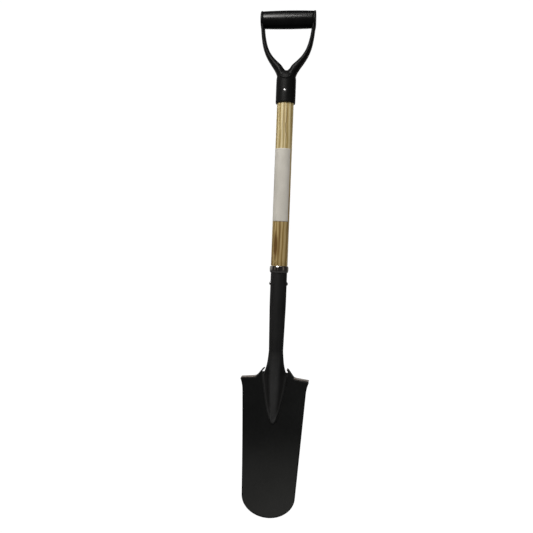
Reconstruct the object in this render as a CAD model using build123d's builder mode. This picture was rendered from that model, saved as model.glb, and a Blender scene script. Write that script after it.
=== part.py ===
from build123d import *

"""Digging spade: pressed steel blade, steel socket, wooden shaft and a D-shaped plastic grip.

Frame, in millimetres: +Z up along the shaft, -Y the dished front of the blade, +X to the right of
someone looking at that front. The blade's tip is at z = 0. The shaft's axis stands SHAFT_Y behind
the origin, which puts the origin at the middle of the footprint.
"""

import os
from math import cos, degrees, radians, sin

os.makedirs("parts", exist_ok=True)

# ---------------------------------------------------------------- driving dimensions

SHAFT_Y = 17.4  # the shaft's axis behind the origin
CLEAR = 0.03  # between faces that seat against each other

# Blade
BLADE_HALF_WIDTH = 75.0  # at the corners of the treads
TIP_HALF_WIDTH = 56.0  # of the ellipse that ends the blade
TIP_HEIGHT = 43.0
SIDE_SLOPE = 0.063  # half-width gained per millimetre of height
FLARE_Z = 252.0  # where the sides begin to sweep out to the corners
TREAD_Z = 280.8
TREAD_DROOP = 1.4  # the treads fall this much towards the corners
TREAD_INNER_X = 41.5
HUMP_HALF_WIDTH = 27.6
HUMP_Z = 300.0
RIM_RADIUS = 5.0
NOTCH_Z = 291.0  # bottom of the open notch between the humps, where the socket stands
NOTCH_HALF_WIDTH = 28.2
NOTCH_TOP_HALF_WIDTH = 24.8  # at the humps' height
PLATE = 2.0  # thickness of the steel plate
FLANGE_DEPTH = 17.0  # of the rim that is turned back along the top edge
LIFT = 0.123  # forward slope of the blade at the treads
LIFT_CURVE = 2.96e-4  # how fast that slope grows towards the tip
DISH = 12.0  # how far the sides stand forward of the middle

# Socket
SOCKET_RADIUS = 17.9
SOCKET_WALL = 2.0
SOCKET_TOP_Z = 519.0
SOCKET_TAPER_Z = 440.0  # the socket is parallel above this height
NECK_Z = 340.0
NECK_RADIUS = 15.7
TONGUE_TIP_Z = 181.0
TONGUE_WIDE_Z = 285.0
TONGUE_HALF_WIDTH = 27.6
TONGUE_CREST_Y = 17.0  # of the tongue's ridge in front of the shaft's axis
TONGUE_TOP_Z = 292.2
RIDGE_TOP_Z = 293.5
TONGUE_POWER = 0.6  # how fast the tongue widens from its tip
WELD = 1.6  # width and height of the bead round the tongue
# Half-width and half-depth of the socket as it opens out below the neck, by height
SPREAD = {291.03: (25.4, 17.0), 297: (22.5, 16.9), 304: (20.5, 16.7), 312: (18.8, 16.4), 325: (17.0, 16.0)}

# Shaft, ferrule and label
SHAFT_RADIUS = 18.25
SHAFT_END_Z = 352.0
SHAFT_SHOULDER_Z = 520.0
SHAFT_TOP_Z = 940.0
FERRULE_Z = 511.0
FERRULE_HEIGHT = 15.5
FERRULE_RADIUS = 20.6
LABEL_Z = 622.6
LABEL_HEIGHT = 158.6
LABEL_THICK = 0.25
LABEL_WIDTH = 100.0
LABEL_EDGE_ANGLE = 59.0  # from the front, towards the right

# Rivets
RIVET_RADIUS = 2.5
RIVET_HEAD_RADIUS = 3.9
RIVET_HEAD_HEIGHT = 2.6
SOCKET_RIVET_Z = 487.0
GRIP_RIVET_HEAD_RADIUS = 3.3
GRIP_RIVET_HEAD_HEIGHT = 0.9
GRIP_RIVET_Z = 905.5

# Grip
GRIP_RIM_Z = 881.0
GRIP_RADIUS = 21.4
GRIP_SHOULDER_Z = 932.0  # top of the straight part of the grip's round socket
GRIP_DOME_Z = 951.5
BAR_Z = 1065.0
BAR_RADIUS = 19.4
BAR_END_RADIUS = 18.3
BAR_SEAT = 0.2  # gap round the bar's ends
BOSS_RADIUS = 18.8  # of the arms' round ends
BAR_WALL = 4.0
BAR_HALF_LENGTH = 55.0
GRIP_HALF_WIDTH = 59.7
SPIGOT_LENGTH = 4.0
ROD_RADIUS = 4.0
ROD_HEAD_RADIUS = 6.2
ROD_HEAD_HEIGHT = 2.0

# Stations up the right arm: middle (x, z), direction in degrees, thickness, depth
ARM_STATIONS = [
    (9.0, 942.0, 62.0, 24.0, 34.0),
    (18.5, 959.0, 54.0, 19.0, 31.0),
    (30.9, 973.3, 52.0, 14.4, 28.0),
    (45.5, 997.3, 66.0, 10.6, 26.0),
    (52.3, 1022.3, 79.0, 8.8, 26.0),
    (55.2, 1044.0, 86.5, 7.9, 28.0),
    (55.5, 1060.0, 90.0, 7.9, 30.0),
]

FRONT_VIEW = Plane.XZ.offset(-SHAFT_Y)
SHAFT_AXIS = Axis((0, SHAFT_Y, 0), (0, 0, 1))
SOCKET_RIVET_PLANE = Plane(origin=(0, SHAFT_Y, SOCKET_RIVET_Z), z_dir=(1, 0, 0))
GRIP_RIVET_PLANE = Plane(origin=(0, SHAFT_Y, GRIP_RIVET_Z), z_dir=(0, 1, 0))


def level(z):
    """Horizontal plane at height z, with its origin on the shaft's axis."""
    return Plane((0, SHAFT_Y, z))


def side(x):
    """Plane across the grip at x, with its origin on the bar's axis."""
    return Plane(origin=(x, SHAFT_Y, BAR_Z), x_dir=(0, 1, 0), z_dir=(1, 0, 0))


# ---------------------------------------------------------------- surfaces given by formula


def blade_y(x, z):
    """Front surface of the blade, measured from the shaft's axis."""
    drop = TREAD_Z - z
    return -(LIFT * drop + LIFT_CURVE * drop**2) - DISH * (x / BLADE_HALF_WIDTH) ** 2


def blade_sheet(front, back):
    """Solid sheet shaped like the blade, from front to back millimetres behind its front surface."""
    heights = [-30 + 30 * i for i in range(13)]
    widths = [-90 + 20 * i for i in range(10)]
    rows = [[(x, SHAFT_Y + blade_y(x, z) + front, z) for x in widths] for z in heights]
    sheet = Face.make_surface_from_array_of_points(rows, tol=1e-3)
    return extrude(sheet, amount=back - front, dir=(0, 1, 0), mode=Mode.PRIVATE)


def tongue_half_width(z):
    """Half the width of the tongue that laps on the blade."""
    rise = min((z - TONGUE_TIP_Z) / (TONGUE_WIDE_Z - TONGUE_TIP_Z), 1)
    return TONGUE_HALF_WIDTH * rise**TONGUE_POWER


def tongue_outline(grow):
    """Right half of the tongue's outline in the front view, from its top to its tip."""
    heights = [TONGUE_TOP_Z, TONGUE_WIDE_Z, 262, 240, 218, 200, 188, 183]
    return [(tongue_half_width(z) + grow, z) for z in heights] + [(0, TONGUE_TIP_Z - grow)]


def rim(inset):
    """Corners of the blade's top edge, from the right tread to the left, inset into the blade."""
    half = [
        (BLADE_HALF_WIDTH, TREAD_Z - TREAD_DROOP - inset),
        (TREAD_INNER_X - 0.54 * inset, TREAD_Z - inset),
        (HUMP_HALF_WIDTH - 0.54 * inset, HUMP_Z - inset),
    ]
    return half + [(-x, z) for x, z in reversed(half)]


# ---------------------------------------------------------------- blade

side_x = TIP_HALF_WIDTH + SIDE_SLOPE * (FLARE_Z - TIP_HEIGHT)
behind_blade = blade_sheet(-CLEAR, 100) & Pos(0, 0, NOTCH_Z + CLEAR - 200) * Box(200, 200, 400)

with BuildPart() as plate:
    with BuildSketch(FRONT_VIEW):
        with BuildLine():
            tip = EllipticalCenterArc((0, TIP_HEIGHT), TIP_HALF_WIDTH, TIP_HEIGHT, 180, arc_size=180)
            right = Line(tip @ 1, (side_x, FLARE_Z))
            ear = ThreePointArc(right @ 1, (side_x + 2, FLARE_Z + 15), rim(0)[0])
            top = FilletPolyline(*rim(0), radius=RIM_RADIUS)
            ThreePointArc(rim(0)[-1], (-side_x - 2, FLARE_Z + 15), (-side_x, FLARE_Z))
            Line((-side_x, FLARE_Z), tip @ 0)
        make_face()
    extrude(amount=100, both=True)
    add(blade_sheet(0, PLATE), mode=Mode.INTERSECT)

with BuildPart() as flange:
    with BuildSketch(FRONT_VIEW):
        with BuildLine():
            FilletPolyline(*rim(0), radius=RIM_RADIUS)
            FilletPolyline(*rim(PLATE), radius=RIM_RADIUS)
            Line(rim(0)[0], rim(PLATE)[0])
            Line(rim(0)[-1], rim(PLATE)[-1])
        make_face()
    extrude(amount=100, both=True)
    add(blade_sheet(0, FLANGE_DEPTH), mode=Mode.INTERSECT)

with BuildPart() as blade:
    add(plate.part)
    add(flange.part)
    with BuildSketch(FRONT_VIEW):
        notch = [(NOTCH_HALF_WIDTH, NOTCH_Z), (NOTCH_TOP_HALF_WIDTH, HUMP_Z), (NOTCH_TOP_HALF_WIDTH, HUMP_Z + 20)]
        with BuildLine():
            Polyline(*notch, *[(-x, z) for x, z in reversed(notch)], close=True)
        make_face()
    extrude(amount=100, both=True, mode=Mode.SUBTRACT)

# ---------------------------------------------------------------- socket and weld

ridge_axis = Axis((0, SHAFT_Y, RIDGE_TOP_Z), (0, 2 - TONGUE_CREST_Y, TONGUE_TIP_Z - RIDGE_TOP_Z))
ridge_length = ((TONGUE_CREST_Y - 2) ** 2 + (RIDGE_TOP_Z - TONGUE_TIP_Z) ** 2) ** 0.5
ridge_plane = Plane(origin=(0, SHAFT_Y, RIDGE_TOP_Z), z_dir=ridge_axis.direction)

with BuildPart() as tongue:
    with BuildSketch(FRONT_VIEW):
        with BuildLine():
            edge = tongue_outline(0)
            Spline(*edge, *[(-x, z) for x, z in reversed(edge[:-1])])
            Line((-edge[0][0], TONGUE_TOP_Z), edge[0])
        make_face()
    extrude(amount=100, both=True)
    add(blade_sheet(-SOCKET_WALL - CLEAR, 1), mode=Mode.INTERSECT)

with BuildPart() as socket:
    for z, half in SPREAD.items():
        with BuildSketch(level(z)):
            Ellipse(*half)
    with BuildSketch(level(NECK_Z)):
        Circle(NECK_RADIUS)
    loft()
    with BuildSketch(FRONT_VIEW):
        with BuildLine():
            Polyline(
                (0, NECK_Z),
                (NECK_RADIUS, NECK_Z),
                (SOCKET_RADIUS, SOCKET_TAPER_Z),
                (SOCKET_RADIUS, SOCKET_TOP_Z),
                (0, SOCKET_TOP_Z),
                close=True,
            )
        make_face()
    revolve(axis=SHAFT_AXIS)
    with Locations(ridge_plane):
        Cone(TONGUE_CREST_Y, 2, ridge_length, align=(Align.CENTER, Align.CENTER, Align.MIN))
    add(tongue.part)
    for z, half in SPREAD.items():
        with BuildSketch(level(z)):
            Ellipse(half[0] - SOCKET_WALL, half[1] - SOCKET_WALL)
    with BuildSketch(level(NECK_Z)):
        Circle(NECK_RADIUS - SOCKET_WALL)
    loft(mode=Mode.SUBTRACT)
    with BuildSketch(FRONT_VIEW):
        with BuildLine():
            Polyline(
                (0, NECK_Z),
                (NECK_RADIUS - SOCKET_WALL, NECK_Z),
                (SOCKET_RADIUS - SOCKET_WALL, SOCKET_TAPER_Z),
                (SOCKET_RADIUS - SOCKET_WALL, SOCKET_TOP_Z),
                (0, SOCKET_TOP_Z),
                close=True,
            )
        make_face()
    revolve(axis=SHAFT_AXIS, mode=Mode.SUBTRACT)
    with Locations(ridge_plane):
        Cone(
            TONGUE_CREST_Y - SOCKET_WALL,
            1,
            ridge_length - 16,
            align=(Align.CENTER, Align.CENTER, Align.MIN),
            mode=Mode.SUBTRACT,
        )
    add(behind_blade, mode=Mode.SUBTRACT)
    with BuildSketch(SOCKET_RIVET_PLANE):
        Circle(RIVET_RADIUS + CLEAR)
    extrude(amount=50, both=True, mode=Mode.SUBTRACT)

with BuildPart() as tongue_weld:
    with BuildSketch(FRONT_VIEW):
        for grow, mode in ((WELD, Mode.ADD), (CLEAR, Mode.SUBTRACT)):
            with BuildLine():
                edge = tongue_outline(grow)
                Spline(*edge, *[(-x, z) for x, z in reversed(edge[:-1])])
                Line((-edge[0][0], TONGUE_TOP_Z), edge[0])
            make_face(mode=mode)
    extrude(amount=100, both=True)
    add(blade_sheet(-WELD, -CLEAR), mode=Mode.INTERSECT)
    add(socket.part, mode=Mode.SUBTRACT)

# ---------------------------------------------------------------- shaft, ferrule and label

with BuildPart() as shaft:
    with BuildSketch(FRONT_VIEW):
        with BuildLine():
            Polyline(
                (0, SHAFT_END_Z),
                (NECK_RADIUS - SOCKET_WALL - 0.3, SHAFT_END_Z),
                (SOCKET_RADIUS - SOCKET_WALL - CLEAR, SOCKET_TAPER_Z),
                (SOCKET_RADIUS - SOCKET_WALL - CLEAR, SHAFT_SHOULDER_Z),
                (SHAFT_RADIUS, SHAFT_SHOULDER_Z),
                (SHAFT_RADIUS, SHAFT_TOP_Z),
                (0, SHAFT_TOP_Z),
                close=True,
            )
        make_face()
    revolve(axis=SHAFT_AXIS)
    with BuildSketch(SOCKET_RIVET_PLANE):
        Circle(RIVET_RADIUS + CLEAR)
    extrude(amount=50, both=True, mode=Mode.SUBTRACT)
    with BuildSketch(GRIP_RIVET_PLANE):
        Circle(RIVET_RADIUS + CLEAR)
    extrude(amount=50, both=True, mode=Mode.SUBTRACT)

with BuildPart() as ferrule:
    with BuildSketch(FRONT_VIEW):
        with BuildLine():
            ferrule_top = FERRULE_Z + FERRULE_HEIGHT
            bulge = (FERRULE_RADIUS, FERRULE_Z + FERRULE_HEIGHT / 2)
            foot = Line((SOCKET_RADIUS + CLEAR, FERRULE_Z), (SHAFT_RADIUS + 0.5, FERRULE_Z))
            ThreePointArc(foot @ 1, bulge, (SHAFT_RADIUS + 0.5, ferrule_top))
            Polyline(
                (SHAFT_RADIUS + 0.5, ferrule_top),
                (SHAFT_RADIUS + CLEAR, ferrule_top),
                (SHAFT_RADIUS + CLEAR, SHAFT_SHOULDER_Z),
                (SOCKET_RADIUS + CLEAR, SHAFT_SHOULDER_Z),
                foot @ 0,
            )
        make_face()
    revolve(axis=SHAFT_AXIS)

with BuildPart() as label:
    with BuildSketch(level(LABEL_Z)):
        with BuildLine():
            inside = SHAFT_RADIUS + CLEAR
            wrap = degrees(LABEL_WIDTH / inside)
            inner = CenterArc((0, 0), inside, LABEL_EDGE_ANGLE - 90, -wrap)
            outer = CenterArc((0, 0), inside + LABEL_THICK, LABEL_EDGE_ANGLE - 90, -wrap)
            Line(inner @ 0, outer @ 0)
            Line(inner @ 1, outer @ 1)
        make_face()
    extrude(amount=LABEL_HEIGHT)

# ---------------------------------------------------------------- grip

with BuildPart() as grip_yoke:
    with BuildSketch(FRONT_VIEW):
        with BuildLine():
            crown_x = GRIP_RADIUS / 2
            shoulder = (0.9 * GRIP_RADIUS, (GRIP_SHOULDER_Z + GRIP_DOME_Z) / 2)
            Polyline(
                (crown_x, GRIP_DOME_Z),
                (0, GRIP_DOME_Z),
                (0, GRIP_RIM_Z),
                (GRIP_RADIUS, GRIP_RIM_Z),
                (GRIP_RADIUS, GRIP_SHOULDER_Z),
            )
            ThreePointArc((GRIP_RADIUS, GRIP_SHOULDER_Z), shoulder, (crown_x, GRIP_DOME_Z))
        make_face()
    revolve(axis=SHAFT_AXIS)
    for sense in (1, -1):
        for x, z, lean, thick, depth in ARM_STATIONS:
            across = Plane(
                origin=(sense * x, SHAFT_Y, z),
                x_dir=(0, 1, 0),
                z_dir=(sense * cos(radians(lean)), 0, sin(radians(lean))),
            )
            with BuildSketch(across):
                Ellipse(depth / 2, thick / 2)
        loft()
        with BuildSketch(side(sense * BAR_HALF_LENGTH)):
            Circle(BOSS_RADIUS)
        extrude(amount=sense * (GRIP_HALF_WIDTH - BAR_HALF_LENGTH))
    with BuildSketch(side(-BAR_HALF_LENGTH)):
        Circle(BAR_END_RADIUS + BAR_SEAT)
    extrude(amount=2 * BAR_HALF_LENGTH, mode=Mode.SUBTRACT)
    for sense in (1, -1):
        with BuildSketch(side(sense * BAR_HALF_LENGTH)):
            Circle(BAR_END_RADIUS - BAR_WALL - CLEAR)
        extrude(amount=-sense * SPIGOT_LENGTH)
        with BuildSketch(side(sense * GRIP_HALF_WIDTH)):
            Circle(ROD_HEAD_RADIUS + CLEAR)
        extrude(amount=-sense * ROD_HEAD_HEIGHT, mode=Mode.SUBTRACT)
    with BuildSketch(side(-GRIP_HALF_WIDTH)):
        Circle(ROD_RADIUS + CLEAR)
    extrude(amount=2 * GRIP_HALF_WIDTH, mode=Mode.SUBTRACT)
    with BuildSketch(level(GRIP_RIM_Z)):
        Circle(SHAFT_RADIUS + CLEAR)
    extrude(amount=SHAFT_TOP_Z - GRIP_RIM_Z + CLEAR, mode=Mode.SUBTRACT)
    with BuildSketch(GRIP_RIVET_PLANE):
        Circle(RIVET_RADIUS + CLEAR)
    extrude(amount=50, both=True, mode=Mode.SUBTRACT)

with BuildPart() as grip_bar:
    with BuildSketch(FRONT_VIEW):
        with BuildLine():
            crown = ThreePointArc(
                (-BAR_HALF_LENGTH, BAR_Z + BAR_END_RADIUS),
                (0, BAR_Z + BAR_RADIUS),
                (BAR_HALF_LENGTH, BAR_Z + BAR_END_RADIUS),
            )
            Polyline(
                crown @ 1,
                (BAR_HALF_LENGTH, BAR_Z + BAR_END_RADIUS - BAR_WALL),
                (-BAR_HALF_LENGTH, BAR_Z + BAR_END_RADIUS - BAR_WALL),
                crown @ 0,
            )
        make_face()
    revolve(axis=Axis((0, SHAFT_Y, BAR_Z), (1, 0, 0)))

with BuildPart() as grip_bar_rod:
    with BuildSketch(side(-GRIP_HALF_WIDTH)):
        Circle(ROD_RADIUS)
    extrude(amount=2 * GRIP_HALF_WIDTH)
    for sense in (1, -1):
        with BuildSketch(side(sense * GRIP_HALF_WIDTH)):
            Circle(ROD_HEAD_RADIUS)
        extrude(amount=-sense * ROD_HEAD_HEIGHT)

# ---------------------------------------------------------------- rivets


def rivet_cap(reach, head_radius, head_height):
    """Three points on a rivet head's dome, from its crown to its rim."""
    shoulder = (reach + 0.68 * head_height, 0.68 * head_radius)
    return [(reach + head_height, 0), shoulder, (reach, head_radius)]


across_shaft = Plane(origin=(0, SHAFT_Y, SOCKET_RIVET_Z), x_dir=(1, 0, 0), z_dir=(0, -1, 0))
with BuildPart() as socket_rivet:
    with BuildSketch(across_shaft):
        with BuildLine():
            cap = rivet_cap(SOCKET_RADIUS + CLEAR, RIVET_HEAD_RADIUS, RIVET_HEAD_HEIGHT)
            ThreePointArc(*cap)
            ThreePointArc(*[(-x, y) for x, y in cap])
            under = cap[2][0]
            Polyline(cap[2], (under, RIVET_RADIUS), (-under, RIVET_RADIUS), (-under, cap[2][1]))
            Line((-cap[0][0], 0), cap[0])
        make_face()
    revolve(axis=Axis(across_shaft.origin, (1, 0, 0)))

through_grip = Plane(origin=(0, SHAFT_Y, GRIP_RIVET_Z), x_dir=(0, 1, 0), z_dir=(1, 0, 0))
with BuildPart() as grip_rivet:
    with BuildSketch(through_grip):
        with BuildLine():
            cap = rivet_cap(GRIP_RADIUS + CLEAR, GRIP_RIVET_HEAD_RADIUS, GRIP_RIVET_HEAD_HEIGHT)
            ThreePointArc(*cap)
            ThreePointArc(*[(-x, y) for x, y in cap])
            under = cap[2][0]
            Polyline(cap[2], (under, RIVET_RADIUS), (-under, RIVET_RADIUS), (-under, cap[2][1]))
            Line((-cap[0][0], 0), cap[0])
        make_face()
    revolve(axis=Axis(through_grip.origin, (0, 1, 0)))

# ---------------------------------------------------------------- parts

blade.part.label = "blade"
socket.part.label = "socket"
tongue_weld.part.label = "tongue_weld"
shaft.part.label = "shaft"
ferrule.part.label = "ferrule"
label.part.label = "label"
socket_rivet.part.label = "socket_rivet"
grip_yoke.part.label = "grip_yoke"
grip_bar.part.label = "grip_bar"
grip_bar_rod.part.label = "grip_bar_rod"
grip_rivet.part.label = "grip_rivet"

export_step(blade.part, "parts/blade.step")
export_step(socket.part, "parts/socket.step")
export_step(tongue_weld.part, "parts/tongue_weld.step")
export_step(shaft.part, "parts/shaft.step")
export_step(ferrule.part, "parts/ferrule.step")
export_step(label.part, "parts/label.step")
export_step(socket_rivet.part, "parts/socket_rivet.step")
export_step(grip_yoke.part, "parts/grip_yoke.step")
export_step(grip_bar.part, "parts/grip_bar.step")
export_step(grip_bar_rod.part, "parts/grip_bar_rod.step")
export_step(grip_rivet.part, "parts/grip_rivet.step")
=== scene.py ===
import math
import random

import bmesh
import bpy
from mathutils import Matrix, Vector, noise


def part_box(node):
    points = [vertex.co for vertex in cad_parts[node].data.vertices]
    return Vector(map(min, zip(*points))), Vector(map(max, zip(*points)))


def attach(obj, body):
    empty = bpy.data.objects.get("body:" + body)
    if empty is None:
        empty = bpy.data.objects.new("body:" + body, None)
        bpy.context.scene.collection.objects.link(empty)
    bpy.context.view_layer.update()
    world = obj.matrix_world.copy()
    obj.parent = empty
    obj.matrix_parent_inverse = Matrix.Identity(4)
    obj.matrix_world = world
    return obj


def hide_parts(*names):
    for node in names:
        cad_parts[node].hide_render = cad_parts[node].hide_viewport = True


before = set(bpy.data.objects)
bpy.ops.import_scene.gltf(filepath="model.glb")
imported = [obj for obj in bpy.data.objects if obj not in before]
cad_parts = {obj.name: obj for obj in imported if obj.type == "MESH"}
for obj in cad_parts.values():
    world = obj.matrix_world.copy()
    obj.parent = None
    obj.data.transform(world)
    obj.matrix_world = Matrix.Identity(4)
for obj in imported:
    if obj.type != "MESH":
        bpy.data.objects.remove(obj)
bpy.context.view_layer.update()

# ------------------------------------------------------------------ the frame's own sizes

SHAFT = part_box("shaft")
AXIS_Y = (SHAFT[0][1] + SHAFT[1][1]) / 2
SHAFT_R = (SHAFT[1][0] - SHAFT[0][0]) / 2
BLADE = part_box("blade")
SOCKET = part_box("socket")
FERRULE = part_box("ferrule")
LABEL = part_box("label")
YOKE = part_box("grip_yoke")
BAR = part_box("grip_bar")
BAR_Z = (BAR[0][2] + BAR[1][2]) / 2
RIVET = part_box("socket_rivet")
GRIP_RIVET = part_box("grip_rivet")
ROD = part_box("grip_bar_rod")


# ------------------------------------------------------------------ materials


def material(name):
    """A new node material: (material, its nodes, its links, its shader)."""
    m = bpy.data.materials.new(name)
    m.use_nodes = True
    nodes, links = m.node_tree.nodes, m.node_tree.links
    return m, nodes, links, nodes["Principled BSDF"]


def coords(nodes, links, scale):
    """Object coordinates stretched by scale."""
    tex = nodes.new("ShaderNodeTexCoord")
    mapping = nodes.new("ShaderNodeMapping")
    mapping.inputs["Scale"].default_value = scale
    links.new(tex.outputs["Object"], mapping.inputs["Vector"])
    return mapping.outputs["Vector"]


def noise_node(nodes, links, vector, scale, detail=4.0, rough=0.55, distort=0.0):
    """Cloudy noise between 0 and 1."""
    n = nodes.new("ShaderNodeTexNoise")
    n.inputs["Scale"].default_value = scale
    n.inputs["Detail"].default_value = detail
    n.inputs["Roughness"].default_value = rough
    n.inputs["Distortion"].default_value = distort
    links.new(vector, n.inputs["Vector"])
    return n.outputs["Fac"]


def ramp(nodes, links, fac, stops):
    """Colour ramp through (position, colour or grey) stops."""
    r = nodes.new("ShaderNodeValToRGB")
    band = r.color_ramp
    while len(band.elements) < len(stops):
        band.elements.new(0.5)
    for element, (position, colour) in zip(band.elements, stops):
        element.position = position
        if isinstance(colour, (int, float)):
            colour = (colour, colour, colour)
        element.color = (*colour, 1)
    links.new(fac, r.inputs["Fac"])
    return r.outputs["Color"]


def feed(nodes, links, shader, socket, fac, stops):
    """Drives one of the shader's sockets with a ramp of fac."""
    links.new(ramp(nodes, links, fac, stops), shader.inputs[socket])


def map_range(nodes, links, value, low, high, kind="LINEAR"):
    """0 to 1 as the value goes from low to high."""
    n = nodes.new("ShaderNodeMapRange")
    n.interpolation_type = kind
    n.inputs["From Min"].default_value = low
    n.inputs["From Max"].default_value = high
    links.new(value, n.inputs["Value"])
    return n.outputs["Result"]


def mix(nodes, links, fac, a, b, kind="MIX"):
    """Blend of a and b, each of them a number, a colour or another node's output."""
    n = nodes.new("ShaderNodeMix")
    n.data_type = "RGBA"
    n.blend_type = kind
    for value, socket in ((fac, n.inputs[0]), (a, n.inputs[6]), (b, n.inputs[7])):
        if isinstance(value, (int, float)):
            socket.default_value = value
        elif isinstance(value, tuple):
            socket.default_value = (*value, 1)
        else:
            links.new(value, socket)
    return n.outputs[2]


def bump(nodes, links, shader, height, strength, distance, below=None):
    """Gives the shader a bump, on top of the one below if there is one."""
    n = nodes.new("ShaderNodeBump")
    n.inputs["Strength"].default_value = strength
    n.inputs["Distance"].default_value = distance
    links.new(height, n.inputs["Height"])
    if below is not None:
        links.new(below, n.inputs["Normal"])
    links.new(n.outputs["Normal"], shader.inputs["Normal"])
    return n.outputs["Normal"]


def painted_steel(name, dark, light, rough, peel=1.0, lit_tops=None, low_painted_light=None, painted_shade=None,
                  gloss=0.28):
    """Satin black paint on steel: orange peel, faint blotches, dust and hairline scuffs.

    lit_tops: (height, colour) painted on flat, upward faces above that height: painted light from
    above.
    rubbed: (start, full, colour) that the paint is lightened towards between those two heights:
    painted light, the blade lighter towards its tip.
    relief: brightness stops for the mesh's own "relief" value, which paints light and shade: from
    hollow (0) to proud (1).
    """
    m, nodes, links, shader = material(name)
    plain = coords(nodes, links, (1, 1, 1))
    long = coords(nodes, links, (5, 5, 0.5))
    blotch = noise_node(nodes, links, plain, 26, 5, 0.6)
    scuff = noise_node(nodes, links, long, 90, 6, 0.7)
    dust = noise_node(nodes, links, plain, 9, 3, 0.5)
    base = ramp(nodes, links, blotch, [(0.3, dark), (0.7, light)])
    marks = ramp(nodes, links, scuff, [(0.62, 0.0), (0.78, 0.35)])
    haze = ramp(nodes, links, dust, [(0.45, 0.0), (0.8, 0.25)])
    pale = tuple(min(1, c * 2.6 + 0.003) for c in light)
    base = mix(nodes, links, marks, base, pale)
    base = mix(nodes, links, haze, base, pale)
    place = nodes.new("ShaderNodeNewGeometry")
    facing = nodes.new("ShaderNodeSeparateXYZ")
    where = nodes.new("ShaderNodeSeparateXYZ")
    links.new(place.outputs["Normal"], facing.inputs["Vector"])
    links.new(place.outputs["Position"], where.inputs["Vector"])
    # painted light: the paint turns lighter going down towards the blade's tip
    if low_painted_light:
        start, full, colour = low_painted_light
        lower = map_range(nodes, links, where.outputs["Z"], start, full, "SMOOTHSTEP")
        uneven = ramp(nodes, links, dust, [(0.3, 0.72), (0.6, 1.0)])
        tip_light = mix(nodes, links, 1.0, lower, uneven, "MULTIPLY")
        base = mix(nodes, links, tip_light, base, colour)
    # painted light and shade: the paint is darkened or lightened by the mesh's own values
    if painted_shade:
        shade_attribute = nodes.new("ShaderNodeAttribute")
        shade_attribute.attribute_name = "painted_shade"
        shade = ramp(nodes, links, shade_attribute.outputs["Fac"], painted_shade)
        base = mix(nodes, links, 1.0, base, shade, "MULTIPLY")
    # painted light: flat, upward faces above a height take a lighter tan colour, as if lit from
    # above
    if lit_tops:
        height, colour = lit_tops
        above = map_range(nodes, links, where.outputs["Z"], height, height + 0.003)
        flat = ramp(nodes, links, facing.outputs["Z"], [(0.80, 0.0), (0.93, 1.0)])
        patchy = ramp(nodes, links, blotch, [(0.35, 0.55), (0.6, 1.0)])
        top_light = mix(nodes, links, 1.0, flat, patchy, "MULTIPLY")
        top_light = mix(nodes, links, 1.0, top_light, above, "MULTIPLY")
        base = mix(nodes, links, top_light, base, colour)
    links.new(base, shader.inputs["Base Color"])
    feed(nodes, links, shader, "Roughness", scuff, [(0.3, rough - 0.05), (0.75, rough + 0.13)])
    fine = noise_node(nodes, links, plain, 900, 3, 0.5)
    grain = bump(nodes, links, shader, fine, 0.10 * peel, 0.0004)
    soft = noise_node(nodes, links, plain, 140, 2, 0.5)
    bump(nodes, links, shader, soft, 0.12 * peel, 0.0012, grain)
    shader.inputs["Specular IOR Level"].default_value = gloss
    return m


def moulded_plastic(name, dark, light, rough, texture, gloss):
    """Black moulded plastic with a fine spark-eroded texture and slight mould marks."""
    m, nodes, links, shader = material(name)
    plain = coords(nodes, links, (1, 1, 1))
    blotch = noise_node(nodes, links, plain, 38, 4, 0.6)
    grain = noise_node(nodes, links, plain, 1400, 2, 0.6)
    handling = noise_node(nodes, links, plain, 17, 3, 0.5)
    feed(nodes, links, shader, "Base Color", blotch, [(0.3, dark), (0.72, light)])
    feed(nodes, links, shader, "Roughness", handling, [(0.3, rough - 0.07), (0.7, rough + 0.09)])
    fine = bump(nodes, links, shader, grain, texture, 0.0005)
    bump(nodes, links, shader, blotch, 0.08, 0.001, fine)
    shader.inputs["Specular IOR Level"].default_value = gloss
    return m


def ellipsoid(nodes, links, centre, radii, wobble):
    """1 in the middle of an ellipsoid, falling to 0 at its surface; its sides wander by wobble."""
    tex = nodes.new("ShaderNodeTexCoord")
    drift = nodes.new("ShaderNodeTexNoise")
    drift.inputs["Scale"].default_value = 1.0
    links.new(coords(nodes, links, (0, 0, 38)), drift.inputs["Vector"])
    shift = nodes.new("ShaderNodeVectorMath")
    shift.operation = "MULTIPLY_ADD"
    shift.inputs[1].default_value = (wobble, 0, 0)
    links.new(drift.outputs["Color"], shift.inputs[0])
    links.new(tex.outputs["Object"], shift.inputs[2])
    place = nodes.new("ShaderNodeMapping")
    place.vector_type = "TEXTURE"
    place.inputs["Location"].default_value = (centre[0] + wobble / 2, centre[1], centre[2])
    place.inputs["Scale"].default_value = radii
    links.new(shift.outputs["Vector"], place.inputs["Vector"])
    ball = nodes.new("ShaderNodeTexGradient")
    ball.gradient_type = "SPHERICAL"
    links.new(place.outputs["Vector"], ball.inputs["Vector"])
    return ball.outputs["Fac"]


DARK_STREAK = (0.150, 0.074, 0.013)
LOWER_PAINTED_SHADE = (0.665, 0.58, 0.455)  # painted shade: what the lower end of the wood is darkened by, as less light falls there


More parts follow.
